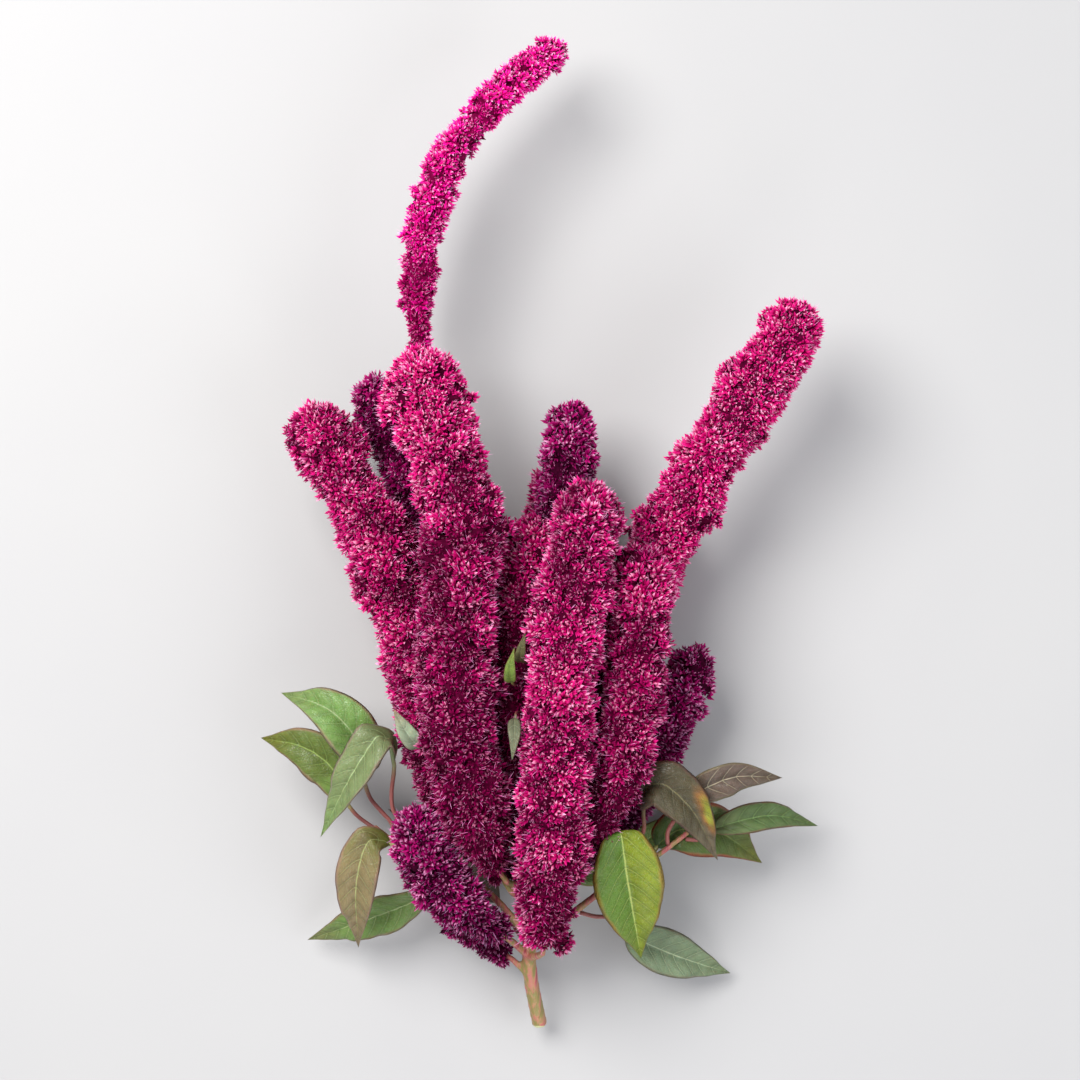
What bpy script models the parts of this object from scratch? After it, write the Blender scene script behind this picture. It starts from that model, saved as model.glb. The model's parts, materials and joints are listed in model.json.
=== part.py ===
"""A cut seed head of red amaranth, lying on its side.

One stem forks into a bundle of spikes: the terminal one is tall and thin, and the
others are thick fingers. Each spike is clothed in glomerules, the small round clusters
of pointed florets, which stand out of a slim core in the same node. Leaves hang from
two side branches at the foot of the head. The stem runs along +Y, with its cut end at
the low Y, and the table is the plane z = 0. Sizes in this file are in millimetres.
"""
import math
import random

import bmesh
import bpy
import numpy as np
from mathutils import Vector
from mathutils.bvhtree import BVHTree

MM = 0.001
GAP = 0.35                  # left between pieces that touch on the real plant
UP = np.array((0.0, 0.0, 1.0))

# The stem: its centreline, its thickness at the cut and at the top, and its ridges.
STEM_POINTS = [
    (-3, -200, 12), (-8, -170, 26), (-7, -130, 38), (-10, -90, 46), (-20, -45, 47),
    (-34, 0, 44), (-46, 50, 44), (-55, 92, 45), (-57, 106, 46),
]
STEM_CUT_RADIUS = 3.6
STEM_TOP_RADIUS = 1.7
STEM_RIDGES = 6
RIDGE = 0.08                # height of a ridge, as a share of the stem's radius
BRANCH_RADIUS = 1.7         # where a branch enters its spike
BRANCH_FOOT_RADIUS = 2.2
BRANCH_RISE = 13            # how far below a spike its branch leaves the stem
LEAFY_BRANCH_RADIUS = 1.5
LEAFY_BRANCHES = {
    "left": [(-8, -156, 31), (-26, -134, 41), (-44, -121, 44), (-64, -114, 45),
             (-80, -102, 45)],
    "right": [(-8, -160, 29), (8, -147, 35), (28, -131, 40), (50, -117, 42),
              (66, -105, 42)],
}

# The socket at the foot of each spike, which its branch fills.
SOCKET_DEPTH = 7
SOCKET_RADIUS = (BRANCH_RADIUS + GAP) / math.cos(math.pi / 6)
TAPER = 62                  # length over which a spike swells from its foot

# The florets: each cluster is a four-sided peak between four hollows.
PEAK = 0.30                 # height of a peak, as a share of the spike's radius
LEAN = 0.30                 # how far a peak leans to the tip, in rows
SCATTER = 0.17              # random shift of a peak, in rows
LOBE_EVERY = 15             # one broad swelling for each such stretch of a spike
GOLDEN_ANGLE = math.radians(137.508)

# The materials: colour and roughness.
LOOKS = {
    "floret_crimson": ((0.30, 0.022, 0.098), 0.5),
    "floret_pink": ((0.42, 0.05, 0.17), 0.5),
    "floret_purple": ((0.13, 0.013, 0.05), 0.55),
    "stem_rose": ((0.36, 0.12, 0.09), 0.5),
    "leaf_green": ((0.205, 0.309, 0.05), 0.45),
    "leaf_sage": ((0.219, 0.305, 0.12), 0.5),
    "leaf_bronze": ((0.11, 0.075, 0.03), 0.45),
    "leaf_grey": ((0.19, 0.156, 0.114), 0.6),
}

# Each spike: its material, its radius, its radius at the foot, the clusters in one turn,
# the height of its swellings as a share of the radius, and points from foot to tip.
SPIKES = {
    "terminal_spike": ("floret_pink", 9.5, 5.5, 5, 0.34, [
        (-57.4, 109, 46.2), (-58.5, 122, 47), (-59, 150, 50), (-54, 184, 54),
        (-40, 214, 55), (-17, 240, 52), (8, 260, 46)]),
    "left_finger": ("floret_crimson", 17.0, 6.5, 8, 0.34, [
        (-20, -126, 48), (-28, -108, 50), (-44, -66, 50), (-57, -20, 52),
        (-77, 30, 54), (-110, 91, 55)]),
    "centre_left_finger": ("floret_crimson", 19.5, 8.0, 8, 0.30, [
        (-22, -120, 62), (-30, -102, 68), (-40, -60, 79), (-40, -15, 85),
        (-35, 30, 86), (-46, 72, 85), (-59, 116, 79)]),
    "centre_shoulder": ("floret_crimson", 14.5, 5.5, 7, 0.24, [
        (-8, -92, 55), (-11, -76, 58), (-15, -40, 61), (-13, -5, 64), (-5, 40, 69)]),
    "centre_right_finger": ("floret_crimson", 17.5, 13.0, 8, 0.30, [
        (-1, -153, 60), (0, -132, 67), (3, -90, 78), (6, -45, 86), (10, -10, 88),
        (16, 25, 87), (21, 55, 83)]),
    "right_finger": ("floret_crimson", 17.0, 5.5, 8, 0.36, [
        (0, -104, 46), (8, -88, 44), (22, -50, 42), (36, -8, 44), (53, 30, 52),
        (76, 72, 60), (98, 104, 64), (119, 137, 62)]),
    "right_shoulder": ("floret_crimson", 15.0, 5.5, 7, 0.30, [
        (11, -120, 50), (19, -104, 58), (32, -68, 73), (37, -35, 75), (42, 0, 75),
        (44, 26, 71)]),
    "left_low_spray": ("floret_purple", 14.0, 6.5, 6, 0.14, [
        (-21, -152, 44), (-33, -142, 52), (-47, -120, 60), (-57, -92, 64)]),
    "foot_spray": ("floret_purple", 9.5, 5.0, 5, 0.10, [
        (-17, -166, 26), (-29, -159, 24), (-50, -140, 25)]),
    "right_low_spray": ("floret_purple", 12.0, 5.5, 6, 0.14, [
        (9, -126, 36), (20, -111, 38), (40, -80, 44), (58, -50, 42), (72, -20, 38)]),
    "under_left_finger": ("floret_crimson", 14.0, 5.5, 6, 0.12, [
        (-17, -110, 35), (-26, -95, 29), (-44, -58, 17), (-58, -18, 10),
        (-68, 18, 10), (-77, 54, 19)]),
    "under_centre_finger": ("floret_crimson", 15.0, 5.5, 6, 0.12, [
        (-8, -138, 27), (-7, -122, 23), (-3, -75, 13), (0, -25, 8.4), (3, 20, 8.4),
        (6, 64, 19)]),
    "under_right_finger": ("floret_crimson", 14.0, 5.5, 6, 0.12, [
        (11, -108, 30), (19, -94, 25), (31, -60, 16), (41, -25, 10), (48, 8, 10),
        (53, 42, 19)]),
    "back_finger": ("floret_purple", 13.0, 5.5, 6, 0.12, [
        (-15, -38, 39), (-9, -24, 38), (0, 18, 40), (8, 55, 45), (12, 94, 50)]),
    "left_back_finger": ("floret_purple", 11.5, 5.5, 6, 0.12, [
        (-52, 37, 40), (-60, 50, 36), (-74, 78, 34), (-82, 106, 40)]),
}
RESTING = ("under_left_finger", "under_centre_finger", "under_right_finger")
STRAIGHT = 12               # stretch at a spike's foot that stays where it is
PRESSED = 1.05              # reach of a spike's florets, as a share of its radius

# The leaves.
SEAT_GAP = 0.45             # from the middle of a petiole's end to the stem
PETIOLE_RADIUS = 1.0
BRACT_STALK = 0.6
BLADE_THICKNESS = 0.7
MIDRIB = 0.35               # how far the midrib stands out below the blade
FOLD = 0.24                 # rise of the blade's margins, as a share of their distance
BLADE_ROW = 6.2             # length of one row of the blade
WAVE_LENGTH = 19            # from crest to crest along a blade's margin
WAVE_HEIGHT = 0.9
WIDEST_AT = 0.38            # place of the greatest width, as a share of the blade

# Each leaf: its material, its carrier, how far along the carrier it is seated, petiole
# length, blade width, points from near the seat to the tip, and the way it faces.
LEAVES = {
    "leaf_left_upper": ("leaf_sage", "left", 84, 34, 24, [
        (-84, -84, 49), (-85, -66, 54), (-99, -48, 56), (-123, -40, 46)], (0, 0.3, 1)),
    "leaf_left_lower": ("leaf_green", "left", 91, 24, 23, [
        (-92, -94, 38), (-99, -76, 41), (-112, -66, 40), (-134, -62, 30)],
        (0, -0.2, 1)),
    "leaf_left_slanting": ("leaf_sage", "left", 74, 46, 19, [
        (-71, -92, 54), (-70, -68, 60), (-75, -58, 66), (-86, -72, 67), (-104, -106, 55)],
        (-0.3, 0.2, 1)),
    "leaf_left_hanging": ("leaf_bronze", "left", 64, 22, 20, [
        (-73, -109, 53), (-81, -107, 58), (-87, -124, 55), (-88, -160, 33)],
        (-0.1, -0.1, 1)),
    "leaf_low_left": ("leaf_green", "left", 42, 22, 20, [
        (-50, -132, 36), (-66, -140, 32), (-90, -150, 22), (-114, -160, 8)],
        (0, -0.3, 1)),
    "leaf_right_large": ("leaf_green", "right", 44, 40, 33, [
        (31, -117, 50), (31, -106, 59), (33, -101, 65), (37, -125, 60), (44, -164, 40)],
        (0.15, -0.1, 1)),
    "leaf_right_bronze": ("leaf_bronze", "right", 60, 34, 23, [
        (45, -103, 50), (44, -86, 61), (51, -80, 67), (65, -91, 64), (79, -117, 52)],
        (0.2, 0.1, 1)),
    "leaf_right_red_edged": ("leaf_green", "right", 62, 18, 26, [
        (50, -114, 35), (60, -105, 38), (80, -106, 33), (102, -122, 20)],
        (0.1, 0.1, 1)),
    "leaf_right_grey": ("leaf_grey", "right", 83, 24, 16, [
        (63, -93, 50), (70, -85, 56), (86, -78, 57), (109, -79, 50)], (0, -0.2, 1)),
    "leaf_right_long": ("leaf_green", "right", 91, 14, 14, [
        (78, -104, 40), (90, -100, 40), (106, -98, 36), (128, -104, 24)], (0, 0.2, 1)),
    "leaf_low_right": ("leaf_sage", "right", 30, 24, 22, [
        (30, -146, 32), (42, -156, 28), (62, -166, 20), (88, -176, 8)], (0.2, 0, 1)),
    "leaf_under_left": ("leaf_grey", "stem", 45, 24, 19, [
        (-20, -144, 15), (-34, -130, 10), (-52, -112, 5), (-76, -98, 3)], (0, 0, 1)),
    "leaf_under_right": ("leaf_green", "stem", 63, 24, 19, [
        (10, -132, 20), (24, -126, 12), (46, -114, 5), (68, -96, 3)], (0, 0, 1)),
}

# Each bract: its material, the spike that it stands on, the place above that it is
# dropped from, petiole length, blade width, and points from its seat to its tip.
BRACTS = {
    "bract_green": ("leaf_green", "centre_shoulder", (-14, -34), 15, 5.5, [
        (-1, 1, 10), (-2, 3, 18), (-2, 9, 24), (0, 18, 26)]),
    "bract_grey": ("leaf_grey", "centre_shoulder", (-13, -47), 15, 6.0, [
        (-1, -1, 10), (-2, -3, 18), (-2, -10, 24), (-3, -20, 26)]),
    "bract_olive": ("leaf_bronze", "centre_shoulder", (-12, -22), 13, 5.0, [
        (-1, 1, 9), (-2, 3, 16), (-1, 9, 22), (1, 16, 23)]),
    "bract_pale": ("leaf_sage", "left_finger", (-55, -64), 6, 9.0, [
        (-3, 1, 6), (-8, 7, 11), (-14, 18, 12)]),
}


def unit(vector):
    return vector / np.linalg.norm(vector)


def mix(first, second, start, end, at):
    return (first * (end - at) + second * (at - start)) / (end - start)


def lengths_along(points):
    return np.concatenate([[0], np.cumsum(np.linalg.norm(np.diff(points, axis=0), axis=1))])


def smooth_path(points, step):
    """Points about one step apart along a centripetal curve through the given points."""
    p = np.array(points, float)
    p = np.vstack([2 * p[0] - p[1], p, 2 * p[-1] - p[-2]])
    spans = np.sqrt(np.linalg.norm(np.diff(p, axis=0), axis=1))
    knot = np.concatenate([[0], np.cumsum(spans)])
    dense = []
    for k in range(1, len(p) - 2):
        for t in np.linspace(knot[k], knot[k + 1], 17)[:-1]:
            a, b, c = (mix(p[i], p[i + 1], knot[i], knot[i + 1], t) for i in (k - 1, k, k + 1))
            before = mix(a, b, knot[k - 1], knot[k + 1], t)
            after = mix(b, c, knot[k], knot[k + 2], t)
            dense.append(mix(before, after, knot[k], knot[k + 1], t))
    dense = np.array(dense + [p[-2]])
    run = lengths_along(dense)
    count = max(2, round(run[-1] / step))
    at = np.linspace(0, run[-1], count + 1)
    return np.column_stack([np.interp(at, run, dense[:, k]) for k in range(3)])


def frames(path, facing=None, facing_at=0):
    """The direction, side and upward vectors along a path, turned as little as can be.

    Where a facing is given, the upward vector turns to it at the path's facing_at point.
    """
    along = np.gradient(path, axis=0)
    along = along / np.linalg.norm(along, axis=1)[:, None]
    side = np.cross(UP, along[0])
    if np.linalg.norm(side) < 0.1:
        side = np.cross((0.0, -1.0, 0.0), along[0])
    found = []
    for direction in along:
        side = unit(side - (side @ direction) * direction)
        found.append((direction, side, np.cross(direction, side)))
    if facing is None:
        return found
    _, side, up = found[facing_at]
    angle = math.atan2(np.dot(facing, side), np.dot(facing, up))
    cos, sin = math.cos(angle), math.sin(angle)
    return [(d, s * cos - u * sin, u * cos + s * sin) for d, s, u in found]


def ring(centre, frame, radii):
    """One closed ring of points round a path, with one radius for each point."""
    _, side, up = frame
    points = []
    for i, radius in enumerate(radii):
        angle = 2 * math.pi * i / len(radii)
        points.append(centre + radius * (side * math.cos(angle) + up * math.sin(angle)))
    return points


def add_wall(bm, rings, split=lambda j, i: False):
    """Join rings of equal count with triangles; split says which way each square goes."""
    rows = [[bm.verts.new(Vector(p) * MM) for p in points] for points in rings]
    count = len(rows[0])
    for j in range(len(rows) - 1):
        for i in range(count):
            a, b = rows[j][i], rows[j][(i + 1) % count]
            d, c = rows[j + 1][i], rows[j + 1][(i + 1) % count]
            if split(j, i):
                bm.faces.new((a, b, d))
                bm.faces.new((b, c, d))
            else:
                bm.faces.new((a, b, c))
                bm.faces.new((a, c, d))
    return rows


def close_fan(bm, row, point):
    """Close a row of vertices on one point."""
    apex = bm.verts.new(Vector(point) * MM)
    for i, vertex in enumerate(row):
        bm.faces.new((vertex, row[(i + 1) % len(row)], apex))


def close_between(bm, inner, outer):
    """Join an inner and an outer row of unequal counts, both starting at angle zero."""
    i = j = 0
    n, m = len(inner), len(outer)
    while i < n or j < m:
        a, b = inner[i % n], outer[j % m]
        if j == m or (i < n and (i + 1) * m <= (j + 1) * n):
            bm.faces.new((a, inner[(i + 1) % n], b))
            i += 1
        else:
            bm.faces.new((a, outer[(j + 1) % m], b))
            j += 1


def make_material(name, colour, roughness):
    material = bpy.data.materials.new(name)
    material.use_nodes = True
    shader = material.node_tree.nodes["Principled BSDF"]
    shader.inputs["Base Color"].default_value = (*colour, 1)
    shader.inputs["Roughness"].default_value = roughness
    shader.inputs["Metallic"].default_value = 0
    return material


def make_object(name, bm, collection, material):
    """An object of a closed mesh, with its faces turned outwards."""
    bmesh.ops.recalc_face_normals(bm, faces=bm.faces[:])
    mesh = bpy.data.meshes.new(name)
    bm.to_mesh(mesh)
    bm.free()
    mesh.materials.append(material)
    made = bpy.data.objects.new(name, mesh)
    collection.objects.link(made)
    return made


def spike_radius(run, length, radius, foot_radius):
    """The radius over the peaks at one place: a swelling foot, then an even finger."""
    swell = math.sin(math.pi / 2 * min(1, run / min(TAPER, 0.5 * length)))
    return foot_radius + (radius - foot_radius) * swell


def settle():
    """Bend the spikes clear of each other, of the stem and of the table.

    The spikes are rows of balls. Balls of different spikes that come too close push
    each other apart, and each row is smoothed after every push. The feet stay on their
    branches, and the fingers that the head rests on stay where they are.
    """
    step = 6
    rows, radii, owner, loose = [], [], [], []
    for number, (name, spike) in enumerate(SPIKES.items()):
        _, radius, foot_radius, _, _, points = spike
        row = smooth_path(points, step)
        length = step * (len(row) - 1)
        for k, point in enumerate(row):
            run = k * step
            dome = math.sqrt(max(0.1, 1 - max(0, 1 - (length - run) / radius) ** 2))
            rows.append(point)
            radii.append(PRESSED * spike_radius(run, length, radius, foot_radius) * dome)
            owner.append(number)
            loose.append(run > STRAIGHT and name not in RESTING)
    stem = smooth_path(STEM_POINTS, step)
    rows += list(stem)
    radii += [STEM_CUT_RADIUS + 0.5] * len(stem)
    owner += [-1] * len(stem)
    loose += [False] * len(stem)
    place, start = np.array(rows), np.array(rows)
    radii, owner, loose = np.array(radii), np.array(owner), np.array(loose)
    apart = radii[:, None] + radii[None] + 2 * GAP
    others = owner[:, None] != owner[None]
    others &= loose[:, None] | loose[None]
    inner = (owner[1:-1] == owner[:-2]) & (owner[1:-1] == owner[2:])
    for _ in range(240):
        away = place[:, None] - place[None]
        far = np.linalg.norm(away, axis=2) + 1e-6
        press = np.where(others, np.clip(apart - far, 0, None), 0) / far
        push = 0.25 * (away * press[..., None]).sum(axis=1)
        size = np.linalg.norm(push, axis=1)[:, None]
        moved = place + push * np.minimum(1, 2 / (size + 1e-6)) - start
        smooth = moved.copy()
        smooth[1:-1][inner] = (moved[:-2] + 2 * moved[1:-1] + moved[2:])[inner] / 4
        place = start + np.where(loose[:, None], smooth, 0)
        place[:, 2] = np.where(loose, np.maximum(place[:, 2], radii + 1), place[:, 2])
    return {name: place[owner == number] for number, name in enumerate(SPIKES)}


def make_spike(name, points, collection, materials):
    """A finger of clusters: rows of peaks and hollows by turns, as on a pine cone."""
    material, radius, foot_radius, around, lobe_height, _ = SPIKES[name]
    draw = random.Random(name)
    count = 2 * around
    row_height = 2 * math.pi * radius * (1 - PEAK / 2) / count
    path = smooth_path(points, 1)
    length = float(len(path) - 1)
    turned = frames(path)
    stations = [(run, spike_radius(run, length, radius, foot_radius))
                for run in np.arange(0, length - 0.92 * radius, row_height)]
    reached, wide = stations[-1]
    caps = max(2, round(wide * math.pi / 2 / row_height))
    for k in range(1, caps):
        angle = math.pi / 2 * k / caps
        stations.append((reached + (length - reached) * math.sin(angle),
                         wide * math.cos(angle)))
    lobes = [(run, number * GOLDEN_ANGLE)
             for number, run in enumerate(np.arange(TAPER / 2, length, LOBE_EVERY))]

    rings = []
    for j, (run, wide) in enumerate(stations):
        points = []
        free = 1 if j else 0
        for i in range(count):
            angle = 2 * math.pi * (i + free * draw.uniform(-SCATTER, SCATTER)) / count
            lobe = sum(math.exp(-((run - at) / (0.55 * radius)) ** 2
                                - (math.remainder(angle - way, 2 * math.pi) / 0.6) ** 2)
                       for at, way in lobes)
            reach = wide * (1 + lobe_height * (min(lobe, 1) - 0.5))
            slip = draw.uniform(-SCATTER, SCATTER)
            if (i + j) % 2 == 0:
                reach *= 1 + draw.uniform(-0.06, 0.06)
                slip += LEAN
            else:
                reach -= PEAK * wide * draw.uniform(0.85, 1.15)
            at = min(max(run + free * slip * row_height, 0), length)
            near = int(min(at, length - 1))
            centre = path[near] + (path[near + 1] - path[near]) * (at - near)
            _, side, up = turned[near]
            point = centre + reach * (side * math.cos(angle) + up * math.sin(angle))
            if name in RESTING:
                point[2] = max(point[2], 0)
            points.append(point)
        rings.append(points)

    bm = bmesh.new()
    rows = add_wall(bm, rings, lambda j, i: (i + j) % 2 == 0)
    close_fan(bm, rows[-1], path[-1])
    bottom = path[0] + turned[0][0] * (SOCKET_DEPTH + GAP)
    mouth, floor = add_wall(bm, [ring(path[0], turned[0], [SOCKET_RADIUS] * 6),
                                 ring(bottom, turned[0], [SOCKET_RADIUS] * 6)])
    close_fan(bm, floor, bottom)
    close_between(bm, mouth, rows[0])
    return make_object(name, bm, collection, materials[material])


def make_tube(name, path, radii, collection, material):
    """A closed tube along a path; radii gives the radii of each ring's points."""
    bm = bmesh.new()
    turned = frames(path)
    rows = add_wall(bm, [ring(p, f, r) for p, f, r in zip(path, turned, radii)])
    close_fan(bm, rows[-1], path[-1])
    close_fan(bm, rows[0], path[0])
    return make_object(name, bm, collection, material)


def stem_radius(run, length):
    return STEM_CUT_RADIUS + (STEM_TOP_RADIUS - STEM_CUT_RADIUS) * run / length


def foot_of(points):
    """A spike's foot and the direction in which it leaves its branch."""
    path = smooth_path(points, 1)
    return path[0], unit(path[1] - path[0])


def make_stem(spike_paths, collection, material):
    """The ridged stem with all its branches, joined in one body."""
    loose = bpy.data.collections.new("stem_tubes")
    collection.children.link(loose)
    foot, direction = foot_of(spike_paths["terminal_spike"])
    path = smooth_path(STEM_POINTS[:-1] + [foot - direction * 2], 12)
    path = np.vstack([path, foot + direction * SOCKET_DEPTH])
    radii = []
    for k in range(len(path)):
        radius = stem_radius(k, len(path) - 2)
        high, low = radius * (1 + RIDGE), radius * (1 - RIDGE)
        if k >= len(path) - 2:
            high = low = BRANCH_RADIUS
        radii.append([high, low] * STEM_RIDGES)
    stem = make_tube("stem", path, radii, collection, material)

    finely = smooth_path(STEM_POINTS, 1)
    for name, points in spike_paths.items():
        if name == "terminal_spike":
            continue
        foot, direction = foot_of(points)
        below = finely[np.argmin(abs(finely[:, 1] - (foot[1] - BRANCH_RISE)))]
        branch = smooth_path([below, foot - direction * 5, foot - direction * 1], 8)
        branch = np.vstack([branch, foot + direction * SOCKET_DEPTH])
        thick = np.linspace(BRANCH_FOOT_RADIUS, BRANCH_RADIUS, len(branch) - 1)
        thick = [[r] * 6 for r in (*thick, BRANCH_RADIUS)]
        make_tube("branch_" + name, branch, thick, loose, material)
    for name, points in LEAFY_BRANCHES.items():
        branch = smooth_path(points, 8)
        thick = np.linspace(BRANCH_FOOT_RADIUS, LEAFY_BRANCH_RADIUS, len(branch))
        make_tube("branch_" + name, branch, [[r] * 6 for r in thick], loose, material)

    join = stem.modifiers.new("join", "BOOLEAN")
    join.operation = "UNION"
    join.solver = "EXACT"
    join.operand_type = "COLLECTION"
    join.collection = loose
    joined = bpy.data.meshes.new_from_object(
        stem.evaluated_get(bpy.context.evaluated_depsgraph_get()))
    stem.modifiers.remove(join)
    stem.data = joined
    for tube in list(loose.objects):
        bpy.data.objects.remove(tube, do_unlink=True)
    bpy.data.collections.remove(loose)
    return stem


def blade_half_width(u, width):
    """Half the width of a leaf's blade: broad below the middle, drawn out to the tip."""
    a, b = 0.8, 0.8 * (1 - WIDEST_AT) / WIDEST_AT
    return width / 2 * (u / WIDEST_AT) ** a * ((1 - u) / (1 - WIDEST_AT)) ** b


def make_leaf(name, path, petiole, width, facing, thin, collection, material):
    """A leaf: a round petiole, then a thin folded blade with waved margins."""
    draw = random.Random(name)
    phases = draw.uniform(0, 2 * math.pi), draw.uniform(0, 2 * math.pi)
    length = len(path) - 1
    middle = round(petiole + 0.4 * (length - petiole))
    turned = frames(path, facing, middle)
    blade_rows = max(5, round((length - petiole) / BLADE_ROW))
    stations = [(run, None) for run in np.arange(0, petiole - 3, 8)]
    stations += [(petiole + (length - petiole) * u, u)
                 for u in np.linspace(0, 1, blade_rows + 1)]
    half = BLADE_THICKNESS / 2
    waves = (length - petiole) / WAVE_LENGTH
    rings = []
    for run, u in stations:
        near = int(round(run))
        _, side, up = turned[near]
        if u is None:
            corners = [(thin * math.cos(a), thin * math.sin(a))
                       for a in np.radians((30, 90, 150, 210, 270, 330))]
        else:
            wide = max(blade_half_width(u, width), 0.6)
            rise = FOLD * wide
            wave = WAVE_HEIGHT * min(1, wide / 6)
            right, left = (rise + wave * math.sin(2 * math.pi * waves * u + phase)
                           for phase in phases)
            keel = half + MIDRIB * (1 - u)
            corners = [(wide, right + half), (0, half), (-wide, left + half),
                       (-wide, left - half), (0, -keel), (wide, right - half)]
        rings.append([path[near] + side * x + up * y for x, y in corners])
    bm = bmesh.new()
    rows = add_wall(bm, rings, lambda j, i: i in (1, 4))
    close_fan(bm, rows[0], sum(rings[0]) / 6)
    close_fan(bm, rows[-1], sum(rings[-1]) / 6)
    return make_object(name, bm, collection, material)


def seat_on_carrier(carrier, along, towards):
    """A leaf's seat beside a stem or branch, and the direction straight out of it."""
    if carrier == "stem":
        path = smooth_path(STEM_POINTS, 1)
        radius = stem_radius(along, len(path)) * (1 + RIDGE)
    else:
        path = smooth_path(LEAFY_BRANCHES[carrier], 1)
        radius = np.interp(along, (0, len(path)), (BRANCH_FOOT_RADIUS, LEAFY_BRANCH_RADIUS))
    at = min(along, len(path) - 2)
    direction = unit(path[at + 1] - path[at])
    out = np.array(towards, float) - path[at]
    out = unit(out - (out @ direction) * direction)
    return path[at] + out * (radius + SEAT_GAP), out


def make_leaves(collection, materials):
    for name, leaf in LEAVES.items():
        material, carrier, along, petiole, width, points, facing = leaf
        seat, out = seat_on_carrier(carrier, along, points[0])
        path = smooth_path([seat, seat + out * 3, *points], 1)
        make_leaf(name, path, petiole, width, facing, PETIOLE_RADIUS, collection,
                  materials[material])


def make_bracts(collection, materials):
    """Small leaves, each seated square on one face of the spike below it."""
    for name, (material, spike, (x, y), petiole, width, points) in BRACTS.items():
        mesh = bpy.data.objects[spike].data
        tree = BVHTree.FromPolygons([v.co for v in mesh.vertices],
                                    [face.vertices for face in mesh.polygons])
        _, _, index, _ = tree.ray_cast(Vector((x, y, 200)) * MM, Vector((0, 0, -1)))
        normal = np.array(mesh.polygons[index].normal)
        seat = np.array(mesh.polygons[index].center) / MM + normal * GAP
        path = smooth_path([seat, seat + normal * 3] + [seat + p for p in points], 1)
        make_leaf(name, path, petiole, width, UP, BRACT_STALK, collection,
                  materials[material])


for old in list(bpy.data.objects):
    bpy.data.objects.remove(old, do_unlink=True)
head = bpy.data.collections.new("amaranth_seed_head")
bpy.context.scene.collection.children.link(head)

looks = {name: make_material(name, *look) for name, look in LOOKS.items()}
paths = settle()
for spike in SPIKES:
    make_spike(spike, paths[spike], head, looks)
make_stem(paths, head, looks["stem_rose"])
make_leaves(head, looks)
make_bracts(head, looks)
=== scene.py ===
import json
import math
import random
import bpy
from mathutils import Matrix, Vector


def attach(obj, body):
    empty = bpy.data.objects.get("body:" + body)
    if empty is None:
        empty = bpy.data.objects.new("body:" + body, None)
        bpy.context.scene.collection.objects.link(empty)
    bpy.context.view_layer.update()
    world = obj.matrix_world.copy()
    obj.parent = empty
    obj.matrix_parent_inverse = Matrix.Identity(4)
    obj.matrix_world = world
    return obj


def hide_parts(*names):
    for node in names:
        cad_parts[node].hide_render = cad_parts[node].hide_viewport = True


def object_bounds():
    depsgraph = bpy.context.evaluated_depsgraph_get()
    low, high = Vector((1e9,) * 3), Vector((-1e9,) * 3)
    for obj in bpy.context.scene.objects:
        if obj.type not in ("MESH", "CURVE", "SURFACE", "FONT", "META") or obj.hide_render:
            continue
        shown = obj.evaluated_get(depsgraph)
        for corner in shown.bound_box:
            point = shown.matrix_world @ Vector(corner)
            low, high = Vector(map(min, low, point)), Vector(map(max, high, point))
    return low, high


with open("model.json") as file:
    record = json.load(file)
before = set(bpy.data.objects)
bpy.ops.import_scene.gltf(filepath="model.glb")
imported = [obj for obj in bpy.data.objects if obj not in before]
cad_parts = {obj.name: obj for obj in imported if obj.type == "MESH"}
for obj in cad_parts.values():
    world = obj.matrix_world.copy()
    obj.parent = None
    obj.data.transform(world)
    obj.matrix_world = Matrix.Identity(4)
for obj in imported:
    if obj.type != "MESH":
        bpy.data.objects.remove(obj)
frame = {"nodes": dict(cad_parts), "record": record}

from types import SimpleNamespace

import bmesh
import bpy
import numpy as np
from mathutils import Vector

cad_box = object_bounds()
slot_of = {part["node"]: part["material_slot"] for part in frame["record"]["subparts"]}


# The stem
# The real stem is a juicy ridged stalk, pink in the sun and olive below, which forks into
# a branch for every spike. It grew as one piece, and a knife cut it across at the foot.

MM = 0.001
STEM_GRAIN = 0.85 * MM      # size of the quads of the finer skin
STEM_SMOOTHING = 8
CUT_FACE = -199.6 * MM      # where the flesh starts to show, along the head


class Value:
    """A socket that takes part in Python sums: each operation adds a Math node."""

    def __init__(self, graph, socket):
        self.graph, self.socket = graph, socket

    def math(self, operation, *terms):
        made = self.graph.node("ShaderNodeMath", {"operation": operation},
                               dict(enumerate(terms)))
        return Value(self.graph, made.outputs[0])

    def __add__(self, other):
        return self.math("ADD", self, other)

    def __radd__(self, other):
        return self.math("ADD", other, self)

    def __sub__(self, other):
        return self.math("SUBTRACT", self, other)

    def __rsub__(self, other):
        return self.math("SUBTRACT", other, self)

    def __mul__(self, other):
        return self.math("MULTIPLY", self, other)

    def __rmul__(self, other):
        return self.math("MULTIPLY", other, self)

    def __truediv__(self, other):
        return self.math("DIVIDE", self, other)

    def __pow__(self, other):
        return self.math("POWER", self, other)

    def __abs__(self):
        return self.math("ABSOLUTE", self)

    def __gt__(self, other):
        return self.math("GREATER_THAN", self, other)

    def fraction(self):
        return self.math("FRACT", self)

    def at_least(self, low):
        return self.math("MAXIMUM", self, low)

    def between(self, low, high):
        """0 below low, 1 above high, and a smooth step from one to the other."""
        made = self.graph.node(
            "ShaderNodeMapRange", {"interpolation_type": "SMOOTHSTEP"},
            {"Value": self, "From Min": low, "From Max": high})
        return Value(self.graph, made.outputs["Result"])


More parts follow.
